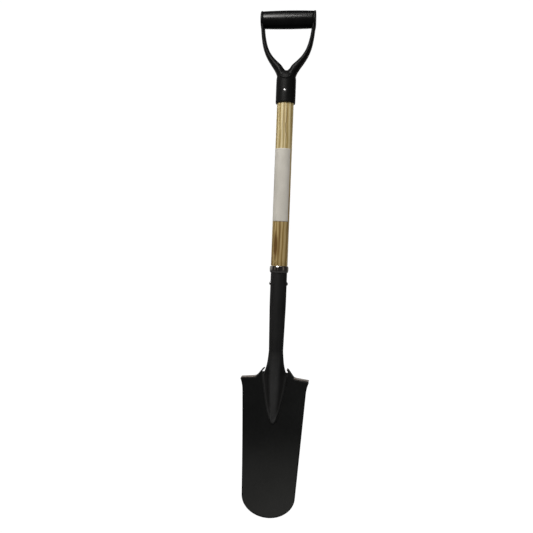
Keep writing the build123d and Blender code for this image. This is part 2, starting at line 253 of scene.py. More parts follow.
def ash_wood():
    """Varnished ash: wandering grain, fibres, a lower end darkened by painted shade, and dark
    streaks on the front.
    """
    m, nodes, links, shader = material("shaft_wood")
    streak_space = coords(nodes, links, (1, 1, 0.02))
    plain = coords(nodes, links, (1, 1, 1))
    lines = nodes.new("ShaderNodeTexWave")
    lines.wave_type = "BANDS"
    lines.bands_direction = "X"
    lines.inputs["Scale"].default_value = 42
    lines.inputs["Distortion"].default_value = 7.0
    lines.inputs["Detail"].default_value = 3.0
    lines.inputs["Detail Scale"].default_value = 0.9
    links.new(coords(nodes, links, (1, 1, 0.17)), lines.inputs["Vector"])
    fibre = noise_node(nodes, links, streak_space, 620, 4, 0.7)
    wide = noise_node(nodes, links, coords(nodes, links, (1, 1, 0.16)), 30, 3, 0.5)
    base = ramp(nodes, links, lines.outputs["Fac"], [
        (0.0, (0.46, 0.335, 0.125)),
        (0.30, (0.62, 0.495, 0.230)),
        (0.65, (0.77, 0.645, 0.345)),
        (1.0, (0.89, 0.775, 0.475)),
    ])
    fibres = ramp(nodes, links, fibre, [(0.3, 0.70), (0.6, 1.0)])
    base = mix(nodes, links, 0.5, base, fibres, "MULTIPLY")
    tone = ramp(nodes, links, wide, [(0.35, (0.74, 0.68, 0.56)), (0.62, (1.0, 1.0, 1.0))])
    base = mix(nodes, links, 0.7, base, tone, "MULTIPLY")

    # painted shade: the wood is darker and browner towards its lower end, where less light falls
    split = nodes.new("ShaderNodeSeparateXYZ")
    links.new(plain, split.inputs["Vector"])
    height = map_range(nodes, links, split.outputs["Z"], 0.60, 0.84)
    shade = ramp(nodes, links, height, [(0.0, LOWER_PAINTED_SHADE), (1.0, (1.0, 1.0, 1.0))])
    base = mix(nodes, links, 1.0, base, shade, "MULTIPLY")

    front = AXIS_Y - 0.0165
    for centre, radii, wobble, depth in (
        ((-0.0082, AXIS_Y - 0.0160, 0.571), (0.0060, 0.012, 0.038), 0.002, 1.0),
        ((0.0004, front, 0.585), (0.0021, 0.010, 0.065), 0.004, 0.70),
        ((0.0052, front, 0.840), (0.0020, 0.010, 0.075), 0.007, 0.62),
        ((-0.0020, front, 0.835), (0.0016, 0.010, 0.060), 0.005, 0.35),
    ):
        spot = nodes.new("ShaderNodeMath")
        spot.operation = "MULTIPLY"
        links.new(ellipsoid(nodes, links, centre, radii, wobble), spot.inputs[0])
        links.new(ramp(nodes, links, fibre, [(0.25, 0.55), (0.6, 1.25)]), spot.inputs[1])
        mark = ramp(nodes, links, spot.outputs[0], [(0.05, 0.0), (0.55, depth)])
        base = mix(nodes, links, mark, base, DARK_STREAK)
    links.new(base, shader.inputs["Base Color"])

    pores = noise_node(nodes, links, streak_space, 1500, 2, 0.6)
    feed(nodes, links, shader, "Roughness", fibre, [(0.25, 0.55), (0.7, 0.42)])
    fine = bump(nodes, links, shader, pores, 0.10, 0.0004)
    bump(nodes, links, shader, noise_node(nodes, links, plain, 60, 2), 0.10, 0.0008, fine)
    shader.inputs["Coat Weight"].default_value = 0.2
    shader.inputs["Coat Roughness"].default_value = 0.3
    return m


def label_paper():
    """Blank uncoated paper, slightly grey, with fibre mottling and faint glue wrinkles."""
    m, nodes, links, shader = material("label_paper")
    plain = coords(nodes, links, (1, 1, 1))
    fibre = noise_node(nodes, links, plain, 700, 4, 0.6)
    blotch = noise_node(nodes, links, coords(nodes, links, (1, 1, 0.5)), 34, 4, 0.6)
    base = ramp(nodes, links, blotch, [(0.28, (0.60, 0.570, 0.506)), (0.7, (0.72, 0.687, 0.618))])
    specks = ramp(nodes, links, fibre, [(0.3, 0.9), (0.6, 1.0)])
    base = mix(nodes, links, 0.8, base, specks, "MULTIPLY")
    links.new(base, shader.inputs["Base Color"])
    feed(nodes, links, shader, "Roughness", fibre, [(0.3, 0.72), (0.7, 0.88)])
    crease = noise_node(nodes, links, coords(nodes, links, (1, 1, 1.8)), 42, 3, 0.5, 0.6)
    fine = bump(nodes, links, shader, fibre, 0.12, 0.0003)
    bump(nodes, links, shader, crease, 0.30, 0.0016, fine)
    return m


def chrome():
    """Bright plated steel with faint polishing lines round it."""
    m, nodes, links, shader = material("ferrule_chrome")
    round_space = coords(nodes, links, (0.6, 0.6, 14))
    lines = noise_node(nodes, links, round_space, 110, 3, 0.6)
    spots = noise_node(nodes, links, coords(nodes, links, (1, 1, 1)), 160, 3, 0.6)
    plate = [(0.3, (0.56, 0.545, 0.53)), (0.7, (0.74, 0.73, 0.72))]
    feed(nodes, links, shader, "Base Color", spots, plate)
    feed(nodes, links, shader, "Roughness", lines, [(0.3, 0.05), (0.7, 0.12)])
    bump(nodes, links, shader, lines, 0.05, 0.0004)
    shader.inputs["Metallic"].default_value = 1.0
    return m


def rivet_steel(name, tone):
    """Cold-headed steel, dulled."""
    m, nodes, links, shader = material(name)
    plain = coords(nodes, links, (1, 1, 1))
    spots = noise_node(nodes, links, plain, 420, 4, 0.6)
    dark = tuple(c * 0.6 for c in tone)
    feed(nodes, links, shader, "Base Color", spots, [(0.3, dark), (0.7, tone)])
    feed(nodes, links, shader, "Roughness", spots, [(0.3, 0.24), (0.7, 0.42)])
    bump(nodes, links, shader, spots, 0.15, 0.0004)
    shader.inputs["Metallic"].default_value = 1.0
    return m


# painted light: the tan colour of the treads' upward tops
TREAD_PAINTED_LIGHT = (0.120, 0.086, 0.063)
# painted light: the lighter colour the blade's paint takes towards its tip
TIP_PAINTED_LIGHT = (0.031, 0.0313, 0.0303)

PAINT = painted_steel(
    "blade_paint", (0.0026, 0.0029, 0.0029), (0.0052, 0.0056, 0.0056), rough=0.50,
    lit_tops=(0.275, TREAD_PAINTED_LIGHT), low_painted_light=(0.190, 0.030, TIP_PAINTED_LIGHT), painted_shade=[(0.0, 0.12), (1.0, 1.0)],
)
# painted light and shade on the socket: darker hollows beside the tongue's ridge, lighter ridge and
# left border
SOCKET_PAINT = painted_steel(
    "socket_paint", (0.038, 0.0385, 0.039), (0.052, 0.0525, 0.053), rough=0.50,
    painted_shade=[(0.0, 0.13), (0.35, 0.25), (1.0, 0.68)], gloss=0.42,
)
WELD_PAINT = painted_steel(
    "weld_paint", (0.015, 0.0153, 0.0155), (0.024, 0.0244, 0.0246), rough=0.48, peel=2.0,
)
WOOD = ash_wood()
PAPER = label_paper()
CHROME = chrome()
RIVET_STEEL = rivet_steel("rivet_steel", (0.55, 0.55, 0.56))
ROD_STEEL = rivet_steel("rod_steel", (0.42, 0.42, 0.43))
YOKE_PLASTIC = moulded_plastic(
    "yoke_plastic", (0.0042, 0.0042, 0.0043), (0.0066, 0.0066, 0.0068),
    rough=0.46, texture=0.22, gloss=0.17,
)
BAR_PLASTIC = moulded_plastic(
    "bar_plastic", (0.0034, 0.0034, 0.0035), (0.0056, 0.0056, 0.0058),
    rough=0.25, texture=0.10, gloss=0.34,
)


# ------------------------------------------------------------------ mesh helpers


def add(name, data):
    """A new object in the scene for that mesh, light or camera."""
    obj = bpy.data.objects.new(name, data)
    bpy.context.scene.collection.objects.link(obj)
    return obj


def piece(name, mesh, mat, slot, *nodes):
    """Puts a mesh into the scene as a piece on the root that replaces those CAD nodes."""
    obj = add(name, mesh)
    mesh.materials.append(mat)
    mesh.shade_smooth()
    if nodes:
        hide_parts(*nodes)
    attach(obj, "root")
    return obj


def grid_mesh(name, rows, close=False, cap=False, painted_shade=None):
    """Mesh through rows of points; close joins each row's end to its start.

    relief, if given, has a value for each point: how much painted light and shade the paint takes
    there.
    """
    bm = bmesh.new()
    layer = bm.verts.layers.float.new("painted_shade") if painted_shade else None
    made = [[bm.verts.new(p) for p in row] for row in rows]
    if painted_shade:
        for row, values in zip(made, painted_shade):
            for v, value in zip(row, values):
                v[layer] = value
    for lower, upper in zip(made, made[1:]):
        count = len(lower)
        for k in range(count if close else count - 1):
            bm.faces.new((lower[k], lower[(k + 1) % count], upper[(k + 1) % count], upper[k]))
    if cap:
        bm.faces.new(list(reversed(made[0])))
        bm.faces.new(made[-1])
    bmesh.ops.remove_doubles(bm, verts=bm.verts, dist=1e-6)
    bmesh.ops.recalc_face_normals(bm, faces=bm.faces)
    mesh = bpy.data.meshes.new(name)
    bm.to_mesh(mesh)
    bm.free()
    return mesh


def lathe(name, profile, origin, axis, segments=96):
    """Turned mesh: profile is (distance along the axis, radius) pairs; closed if its ends meet."""
    axis = Vector(axis)
    side = Vector((0, 1, 0)) if abs(axis.y) < 0.5 else Vector((1, 0, 0))
    other = axis.cross(side)
    rows = []
    for along, radius in profile:
        row = []
        for k in range(segments):
            a = 2 * math.pi * k / segments
            out = (side * math.cos(a) + other * math.sin(a)) * max(radius, 1e-7)
            row.append(Vector(origin) + axis * along + out)
        rows.append(row)
    return grid_mesh(name, rows, close=True)


def sharpen(obj, degrees):
    """Marks edges sharper than the angle, so that smooth shading stops there."""
    obj.data.set_sharp_from_angle(angle=math.radians(degrees))


def bevel(obj, width, segments=2, angle=35):
    """Rounds the edges that are sharper than the angle."""
    m = obj.modifiers.new("edges", "BEVEL")
    m.width = width
    m.segments = segments
    m.limit_method = "ANGLE"
    m.angle_limit = math.radians(angle)
    m.harden_normals = True


def thicken(obj, thickness, along):
    """Gives a sheet its thickness, along its faces' normals or against them."""
    m = obj.modifiers.new("thickness", "SOLIDIFY")
    m.thickness = thickness
    m.offset = 1 if along else -1
    return m


def faces_out(face):
    """Whether a face looks away from the shaft's axis."""
    axis = Vector((0, AXIS_Y, face.center.z))
    return face.normal.dot(face.center - axis) > 0


def smoothstep(t):
    """0 up to t = 0 and 1 from t = 1, with an easy curve between them."""
    t = min(max(t, 0.0), 1.0)
    return t * t * (3 - 2 * t)


# ------------------------------------------------------------------ blade

TREAD_Z, TREAD_DROOP, TREAD_IN = 0.2808, 0.0014, 0.0415  # treads: height, fall, inner end
HUMP_Z, HUMP_X = BLADE[1][2] - 0.0002, 0.0274  # humps beside the socket: height, inner end
NOTCH_Z, NOTCH_W, NOTCH_TOP_W = 0.2932, 0.0282, 0.0248  # notch between them: floor, half-widths
HALF = BLADE[1][0] - 0.0009  # half-width at the treads
TIP_W, TIP_H = 0.0558, 0.043  # rounded end: half-width, height
SLOPE, FLARE_Z = 0.062, 0.252  # how much the sides widen upwards, and where they flare
PLATE, FLANGE, BEND = 0.002, 0.017, 0.0032  # plate's thickness, tread's depth, its bend's radius
EDGE_SHADE_BAND = 0.0028  # width of the thin edge darkened with painted shade
EDGE_Z = 0.0012  # lowest point of the edge
WAVINESS = 0.0004  # how far the plate wanders from its true surface
SAME_POINT = 5e-6  # points nearer than this become one


def blade_y(x, z):
    """Front of the blade, in metres from the shaft's axis."""
    drop = (TREAD_Z - z) * 1000
    return -(0.123 * drop + 2.96e-4 * drop * drop) / 1000 - 0.012 * (x / 0.075) ** 2


def blade_half(z):
    """Half-width of the blade at height z."""
    straight = TIP_W + SLOPE * (z - TIP_H)
    if z <= FLARE_Z:
        return straight
    corner_z = TREAD_Z - TREAD_DROOP - BEND
    rise = min((z - FLARE_Z) / (corner_z - FLARE_Z), 1)
    corner = TIP_W + SLOPE * (corner_z - TIP_H)
    return straight + (HALF - corner) * rise**2.2


def blade_top(x):
    """Height of the blade's top edge at x."""
    x = abs(x)
    tread = TREAD_Z - TREAD_DROOP * (x - TREAD_IN) / (HALF - TREAD_IN)
    slope = HUMP_Z - (x - HUMP_X) * (HUMP_Z - TREAD_Z) / (TREAD_IN - HUMP_X)
    low = 0.5 * (tread + slope + math.sqrt((tread - slope) ** 2 + 0.0032**2))
    return 0.5 * (low + HUMP_Z - math.sqrt((low - HUMP_Z) ** 2 + 0.0026**2))


def cut_notch(mesh):
    """Opens the notch between the humps, where the socket stands."""
    bm = bmesh.new()
    bm.from_mesh(mesh)
    lean = (NOTCH_W - NOTCH_TOP_W) / (HUMP_Z - NOTCH_Z)
    for corner, normal in (
        ((0, 0, NOTCH_Z), (0, 0, 1)),
        ((NOTCH_W, 0, NOTCH_Z), (1, 0, lean)),
        ((-NOTCH_W, 0, NOTCH_Z), (-1, 0, lean)),
    ):
        near = []
        for f in bm.faces:
            c = f.calc_center_median()
            if c.z > NOTCH_Z - 0.01 and abs(c.x) < 0.035:
                near.append(f)
        edges = dict.fromkeys(e for f in near for e in f.edges)
        verts = dict.fromkeys(v for f in near for v in f.verts)
        geom = [*near, *edges, *verts]
        bmesh.ops.bisect_plane(bm, geom=geom, dist=1e-6, plane_co=corner, plane_no=normal)
    inside = []
    for f in bm.faces:
        c = f.calc_center_median()
        if c.z > NOTCH_Z and abs(c.x) < NOTCH_W - lean * (c.z - NOTCH_Z):
            inside.append(f)
    bmesh.ops.delete(bm, geom=inside, context="FACES")
    bm.to_mesh(mesh)
    bm.free()


def make_blade():
    """The blade: a dished plate with a rim darkened by painted shade, its top edge bent back into
    the treads.
    """
    rows = []
    painted_shade = []
    columns = [math.sin(math.radians(a)) for a in range(-90, 91, 2)]
    extra = [s * (0.30 + 0.02 * k) for s in (-1, 1) for k in range(15)]
    columns = sorted(set(round(c, 5) for c in columns + extra))
    steps = 84
    for j in range(steps + 1):
        v = (j / steps) ** 1.15
        row = []
        values = []
        for u in columns:
            low = TIP_H - (TIP_H - EDGE_Z) * math.sqrt(max(0.0, 1 - u * u))
            x = u * HALF
            for _ in range(6):
                z = low + v * (blade_top(x) - BEND - low)
                x = u * blade_half(z)
            y = blade_y(x, z)
            wave = noise.noise(Vector((x * 14, z * 9, 3.1))) * WAVINESS
            row.append((x, AXIS_Y + y + wave * smoothstep((0.26 - z) / 0.05), z))
            # painted shade: the paint darkens in a thin band along the blade's outline
            inset = min((1 - abs(u)) * blade_half(z), z - low)
            values.append(smoothstep(inset / EDGE_SHADE_BAND))
        rows.append(row)
        painted_shade.append(values)
    top = rows[-1]
    heights = [blade_top(p[0]) for p in top]
    for k in range(1, 6):
        a = math.radians(18 * k)
        rows.append([
            (p[0], p[1] + BEND * (1 - math.cos(a)), h - BEND + BEND * math.sin(a))
            for p, h in zip(top, heights)
        ])
    for k in range(1, 6):
        run = BEND + (FLANGE - BEND) * k / 5
        rows.append([(p[0], p[1] + run, h) for p, h in zip(top, heights)])
    painted_shade += [[1.0] * len(columns)] * (len(rows) - len(painted_shade))
    mesh = grid_mesh("blade_steel", rows, painted_shade=painted_shade)
    cut_notch(mesh)
    obj = piece("blade_steel", mesh, PAINT, "blade_steel", "blade")
    plate = thicken(obj, PLATE, along=mesh.polygons[len(mesh.polygons) // 2].normal.y >= 0)
    plate.use_even_offset = True
    bevel(obj, 0.0005)
    clean = obj.modifiers.new("clean", "WELD")
    clean.merge_threshold = SAME_POINT


make_blade()

# ------------------------------------------------------------------ socket with its tongue

NECK_Z, NECK_R = 0.340, 0.0157
SOCKET_R, TAPER_Z = 0.0179, 0.440  # outer radius of the mouth, and the height where the cone ends
SOCKET_TOP = SOCKET[1][2]
TIP_Z, WIDE_Z, TONGUE_W = 0.1842, 0.285, 0.0276  # tongue: tip, widest height, half-width there
WALL, CREST = 0.002, 0.017  # wall's thickness, and how far the ridge stands off the blade
OPEN_Z = 0.342  # the socket is round above this
LIP_RISE, LIP_INSET, LIP_SPREAD = 0.0012, 0.0024, 0.0018  # pressed border along the tongue
PLAIN_PAINTED_SHADE = 0.35  # painted shade value of the round part, between hollow and proud


def tongue_half(z):
    """Half-width of the tongue at height z."""
    rise = min(max((z - TIP_Z) / (WIDE_Z - TIP_Z), 0), 1)
    return TONGUE_W * rise**0.54


def socket_half(z):
    """Half-width of the socket: a cone above the neck, flaring below it to the tongue's width."""
    if z >= NECK_Z:
        return NECK_R + (SOCKET_R - NECK_R) * min((z - NECK_Z) / (TAPER_Z - NECK_Z), 1)
    d = (NECK_Z - z) / 0.049
    flare = NECK_R + 0.0042 * d + 0.0055 * d**4
    tongue = tongue_half(z)
    return 0.5 * (flare + tongue - math.sqrt((flare - tongue) ** 2 + 0.0016**2))


def opened(z):
    """0 where the socket is round, to 1 where it has opened out to the tongue."""
    return smoothstep((0.316 - z) / 0.031)


def front_point(s, z):
    """Point on the front of the socket: s runs from -1 at its left edge to 1 at its right."""
    t = opened(z)
    w = socket_half(z)
    x = s * w
    across = abs(x)
    depth = socket_half(max(z, 0.325))
    round_y = -depth * math.sqrt(max(0.0, 1 - s * s))
    lap = blade_y(x, z) - WALL
    core = min(0.0060 + 0.0066 * smoothstep((z - 0.18) / 0.10), 0.80 * w)
    ridge = max(CREST + blade_y(0, z) - WALL, 0.0)
    lobe = 1 / (1 + (across / core) ** 4.0)
    lip = LIP_RISE * math.exp(-((across - w + LIP_INSET) / LIP_SPREAD) ** 2)
    lip *= smoothstep((z - 0.183) / 0.01)
    y = lap - ridge * lobe - lip
    return (x, AXIS_Y + (1 - t) * round_y + t * y, z)


def front_painted_shade(s, z):
    """Painted light and shade on the front of the socket, from 0 darkest in a hollow to 1 lightest
    on the ridge.
    """
    w = socket_half(z)
    across = abs(s) * w
    core = min(0.0068 + 0.0050 * smoothstep((z - 0.18) / 0.10), 0.85 * w)
    ridge = 1 / (1 + (across / core) ** 7)
    # painted light: the left border is lit more than the right
    border = (0.74 if s < 0 else 0.30) * math.exp(-((across - w + 0.0022) / 0.0021) ** 2)
    low = max(ridge, border)
    t = smoothstep((0.345 - z) / 0.05)
    return PLAIN_PAINTED_SHADE * (1 - t) + low * t


def back_point(a, z):
    """Point on the back of the socket: a is 90 degrees at its right side, -90 at its left."""
    depth = socket_half(max(z, 0.325))
    half = socket_half(z)
    edge = front_point(1, z)[1] - AXIS_Y
    return (half * math.sin(a), AXIS_Y + edge + (depth - edge) * math.cos(a), z)


def make_socket():
    """The socket: a round tube that opens at its neck and laps the front of the blade."""
    sides = [math.sin(math.radians(a / 2)) for a in range(-180, 181, 5)]
    low = [TIP_Z + (NOTCH_Z - TIP_Z) * (k / 60) ** 1.1 for k in range(1, 61)]
    high = [NOTCH_Z + (OPEN_Z - NOTCH_Z) * k / 34 for k in range(1, 35)]
    high += [OPEN_Z + (SOCKET_TOP - OPEN_Z) * k / 26 for k in range(1, 27)]
    bm = bmesh.new()
    layer = bm.verts.layers.float.new("painted_shade")

    def rows(heights, point, values, painted_shade):
        """Adds a surface: one row of points at each height, with each point's value of painted
        light and shade.
        """
        made = [[bm.verts.new(point(v, z)) for v in values] for z in heights]
        for row, z in zip(made, heights):
            for vert, v in zip(row, values):
                vert[layer] = painted_shade(v, z)
        for lower, upper in zip(made, made[1:]):
            for k in range(len(values) - 1):
                bm.faces.new((lower[k], lower[k + 1], upper[k + 1], upper[k]))

    rows(low + high, front_point, sides, front_painted_shade)
    turns = [math.radians(a) for a in range(90, -91, -5)]
    rows([NOTCH_Z] + high, back_point, turns, lambda a, z: PLAIN_PAINTED_SHADE)
    bmesh.ops.remove_doubles(bm, verts=bm.verts, dist=2e-5)
    bmesh.ops.recalc_face_normals(bm, faces=bm.faces)
    mesh = bpy.data.meshes.new("socket_steel")
    bm.to_mesh(mesh)
    bm.free()
    obj = piece("socket_steel", mesh, SOCKET_PAINT, "socket_steel", "socket")
    highest = max(mesh.polygons, key=lambda p: p.center.z)
    thicken(obj, WALL * 0.9, along=not faces_out(highest))
    bevel(obj, 0.0004)


make_socket()

BEAD_TOP, BEAD_R = 0.2915, 0.0013


def make_weld():
    """Painted bead along the tongue's edge, slightly uneven, as a run of small ripples."""
    rng = random.Random(7)
    points = []
    for k in range(0, 81):
        z = BEAD_TOP - (BEAD_TOP - TIP_Z) * math.sin(math.radians(90 * k / 80))
        points.append((tongue_half(z) + 0.0004, z))
    line = points + [(-x, z) for x, z in reversed(points[:-1])]
    rows = []
    for k, (x, z) in enumerate(line):
        here = Vector((x, AXIS_Y + blade_y(x, z) - 0.0002, z))
        x1, z1 = line[min(k + 1, len(line) - 1)]
        x0, z0 = line[max(k - 1, 0)]
        along = Vector((x1 - x0, blade_y(x1, z1) - blade_y(x0, z0), z1 - z0)).normalized()
        out = Vector((0, -1, 0))
        out = (out - along * out.dot(along)).normalized()
        side = along.cross(out)
        r = BEAD_R * (1 + 0.09 * math.sin(k * 1.9) + rng.uniform(-0.05, 0.05))
        if k < 2 or k > len(line) - 3:
            r *= 0.5
        rows.append([here + (side * math.cos(a) + out * math.sin(a) * 0.9) * r
                     for a in (2 * math.pi * q / 10 for q in range(10))])
    mesh = grid_mesh("tongue_weld_bead", rows, close=True, cap=True)
    piece("tongue_weld_bead", mesh, WELD_PAINT, "weld_paint", "tongue_weld")


make_weld()

# ------------------------------------------------------------------ shaft, ferrule and label


def turned_piece(name, profile, mat, slot, node, origin=(0, AXIS_Y, 0), axis=(0, 0, 1),
                 segments=96, angle=40):
    """A turned piece in place of that node, with its edges sharper than the angle kept crisp."""
    obj = piece(name, lathe(name, profile, origin, axis, segments), mat, slot, node)
    sharpen(obj, angle)


SPIGOT_R, SPIGOT_END_R = 0.0156, 0.0132  # the end of the shaft that's hidden in the socket

shaft_low, shaft_high = SHAFT[0][2], SHAFT[1][2]
shoulder = SOCKET_TOP + 0.001
turned_piece(
    "shaft_wood",
    [(shaft_low, 0), (shaft_low, SPIGOT_END_R - 0.0004), (shaft_low + 0.001, SPIGOT_END_R),
     (TAPER_Z, SPIGOT_R), (shoulder, SPIGOT_R), (shoulder, SHAFT_R - 0.0004),
     (shoulder + 0.0005, SHAFT_R)]
    + [(shoulder + 0.02 + k * 0.02, SHAFT_R) for k in range(20)]
    + [(shaft_high - 0.001, SHAFT_R), (shaft_high, SHAFT_R - 0.001), (shaft_high, 0)],
    WOOD, "shaft_wood", "shaft", segments=128,
)

RING_BORE, RING_LIP, RING_SEAT, RING_EDGE = 0.01780, 0.01820, 0.01808, 0.01835  # radii of the ring

ring_low, ring_high = FERRULE[0][2], FERRULE[1][2]
ring_mid, ring_half = (ring_low + ring_high) / 2, (ring_high - ring_low) / 2
ring_r = (FERRULE[1][0] - FERRULE[0][0]) / 2
round_over = []
for turn in range(-90, 91, 9):
    a = math.radians(turn)
    bulge = (ring_r - RING_EDGE) * max(0.0, math.cos(a)) ** 0.8
    round_over.append((ring_mid + ring_half * math.sin(a) * 0.985, RING_EDGE + bulge))
turned_piece(
    "ferrule_ring",
    [(ring_low, RING_BORE), (ring_low, RING_LIP)] + round_over
    + [(ring_high, RING_EDGE - 0.00005), (ring_high, RING_SEAT), (shoulder, RING_SEAT),
       (shoulder, RING_BORE), (ring_low, RING_BORE)],
    CHROME, "ferrule_chrome", "ferrule", segments=128, angle=60,
)


LABEL_LENGTH, LABEL_START, PAPER_THICKNESS = 0.100, math.radians(59), 0.00014


def make_label():
    """The label: paper wrapped nearly all the way round the shaft, with slight wrinkles."""
    inside = SHAFT_R + 0.00006
    wrap = LABEL_LENGTH / inside
    low, high = LABEL[0][2], LABEL[1][2]
    rows = []
    for j in range(90):
        v = j / 89
        row = []
        for k in range(141):
            u = k / 140
            a = LABEL_START - wrap * u + math.radians(0.5) * noise.noise(Vector((v * 5, 4.2, 0)))
            rough = abs(noise.noise(Vector((u * 9, v * 11, 1.7)))) * smoothstep((0.25 - v) / 0.25)
            rough += 0.35 * abs(noise.noise(Vector((u * 4, v * 17, 8.7))))
            edge = smoothstep((0.02 - u) / 0.02) * (0.4 + 0.6 * noise.noise(Vector((0, v * 6, 2))))
            r = inside + 0.00012 * rough + 0.00010 * max(0.0, edge)
            z = low + (high - low) * v
            if j in (0, 89):
                nick = 0.5 + 0.5 * noise.noise(Vector((u * 12, j, 0)))
                z += (1 if j == 0 else -1) * 0.0003 * nick
            row.append((r * math.sin(a), AXIS_Y - r * math.cos(a), z))
        rows.append(row)
    mesh = grid_mesh("label_wrap", rows)
    obj = piece("label_wrap", mesh, PAPER, "label_paper", "label")
    thicken(obj, PAPER_THICKNESS, along=faces_out(mesh.polygons[len(mesh.polygons) // 2]))


make_label()

# ------------------------------------------------------------------ rivets


SHANK_R, RIVET_HEAD_R, GRIP_RIVET_HEAD_R = 0.0024, 0.0038, 0.0033


def rivet_profile(reach, head, height):
    """Outline of a rivet with two domed heads; reach is from its middle to under a head."""
    dome = []
    for turn in range(0, 91, 10):
        a = math.radians(turn)
        dome.append((reach + height * math.cos(a), head * math.sin(a)))
    side = dome + [(reach, head * 0.96), (reach, SHANK_R)]
    return side + [(-x, r) for x, r in reversed(side)]


reach = SOCKET_R + 0.0001
height = (RIVET[1][0] - RIVET[0][0]) / 2 - reach
rivet_z = (RIVET[0][2] + RIVET[1][2]) / 2
turned_piece(
    "socket_rivet_steel", rivet_profile(reach, RIVET_HEAD_R, height), RIVET_STEEL, "rivet_steel",
    "socket_rivet", origin=(0, AXIS_Y, rivet_z), axis=(1, 0, 0), segments=40, angle=60,
)
yoke_r = (YOKE[1][1] - YOKE[0][1]) / 2
reach = yoke_r + 0.00002
height = (GRIP_RIVET[1][1] - GRIP_RIVET[0][1]) / 2 - reach
rivet_z = (GRIP_RIVET[0][2] + GRIP_RIVET[1][2]) / 2
turned_piece(
    "grip_rivet_steel", rivet_profile(reach, GRIP_RIVET_HEAD_R, height), RIVET_STEEL, "rivet_steel",
    "grip_rivet", origin=(0, AXIS_Y, rivet_z), axis=(0, 1, 0), segments=40, angle=60,
)

# ------------------------------------------------------------------ grip

SADDLE_Z, SADDLE_SIZE = 0.9400, (0.0150, 0.0135, 0.0082)  # filling under the crotch
ARC_Z, ARC_W, ARC_H, ARC_R = 0.9425, 0.0125, 0.0090, 0.0018  # raised arc on the front, below it
FRONT_R = 0.0212  # radius of the front that the arc lies on
SKIN_STEP, SWELL = 0.0009, 0.0003  # size of the new skin's cells, and how far it's pushed out
CROTCH_Z, CROTCH_H, CROTCH_W = 0.9535, 0.0085, 0.015  # where the crotch is rounded
CROTCH_OPENING = 0.75  # and by how much it's widened


def make_yoke():
    """The yoke: the CAD shape remeshed and relaxed, so that its arms flow into its socket."""
    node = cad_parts["grip_yoke"]
    mesh = node.data.copy()
    mesh.materials.clear()
    bm = bmesh.new()
    bm.from_mesh(mesh)
    saddle = Matrix.Translation((0, AXIS_Y, SADDLE_Z)) @ Matrix.Diagonal((*SADDLE_SIZE, 1))
    bmesh.ops.create_uvsphere(bm, u_segments=32, v_segments=16, radius=1, matrix=saddle)
    for k in range(-12, 13):
        a = math.radians(5 * k)
        x, z = ARC_W * math.sin(a), ARC_Z - ARC_H * math.cos(a)
        y = AXIS_Y - math.sqrt(FRONT_R**2 - x * x)
        spot = Matrix.Translation((x, y + 0.0004, z))
        bmesh.ops.create_icosphere(bm, subdivisions=2, radius=ARC_R, matrix=spot)
    bm.to_mesh(mesh)
    bm.free()
    obj = piece("grip_yoke_moulding", mesh, YOKE_PLASTIC, "yoke_plastic", "grip_yoke")
    voxels = obj.modifiers.new("skin", "REMESH")
    voxels.mode = "VOXEL"
    voxels.voxel_size = SKIN_STEP
    voxels.use_smooth_shade = True
    relax = obj.modifiers.new("relax", "CORRECTIVE_SMOOTH")
    relax.factor = 0.5
    relax.iterations = 7
    relax.use_only_smooth = True
    swell = obj.modifiers.new("swell", "DISPLACE")
    swell.strength = SWELL
    swell.mid_level = 0.0
    bpy.context.view_layer.update()
    graph = bpy.context.evaluated_depsgraph_get()
    baked = bpy.data.meshes.new_from_object(obj.evaluated_get(graph))
    for v in baked.vertices:
        near = max(0.0, 1 - (v.co.x / CROTCH_W) ** 2) ** 2
        v.co.x *= 1 + CROTCH_OPENING * near * math.exp(-((v.co.z - CROTCH_Z) / CROTCH_H) ** 2)
    obj.modifiers.clear()
    obj.data = baked
    if not baked.materials:
        baked.materials.append(YOKE_PLASTIC)
    baked.shade_smooth()


make_yoke()

END_R, BAR_BORE, BAR_STEPS, BAR_EDGE = 0.0183, 0.0144, 40, 0.0006

bar_half = (BAR[1][0] - BAR[0][0]) / 2
bar_r = (BAR[1][2] - BAR[0][2]) / 2
outside = []
for k in range(BAR_STEPS + 1):
    thinner = (bar_r - END_R) * (2 * k / BAR_STEPS - 1) ** 2
    outside.append((-bar_half + 2 * bar_half * k / BAR_STEPS, bar_r - thinner))
outside[0] = (outside[0][0], END_R - BAR_EDGE)
outside.insert(1, (-bar_half + BAR_EDGE, END_R))
outside[-1] = (outside[-1][0], END_R - BAR_EDGE)
outside.insert(-1, (bar_half - BAR_EDGE, END_R))
inside = [(bar_half, BAR_BORE), (-bar_half, BAR_BORE)]
turned_piece(
    "grip_bar_tube", outside + inside + [outside[0]], BAR_PLASTIC,
    "bar_plastic", "grip_bar", origin=(0, AXIS_Y, BAR_Z), axis=(1, 0, 0), segments=112, angle=50,
)

rod_half = (ROD[1][0] - ROD[0][0]) / 2
rod_head = (ROD[1][2] - ROD[0][2]) / 2
head_depth, rod_r = 0.0019, 0.0039
rod_side = [
    (rod_half - 0.0004, 0), (rod_half - 0.0002, 0.0022), (rod_half, 0.0030),
    (rod_half, rod_head - 0.0006), (rod_half - 0.0006, rod_head),
    (rod_half - head_depth, rod_head), (rod_half - head_depth, rod_r),
]
turned_piece(
    "grip_rod_steel", rod_side + [(-x, r) for x, r in reversed(rod_side)], ROD_STEEL, "rod_steel",
    "grip_bar_rod", origin=(0, AXIS_Y, BAR_Z), axis=(1, 0, 0), segments=48, angle=40,
)

# ------------------------------------------------------------------ stage, light and camera

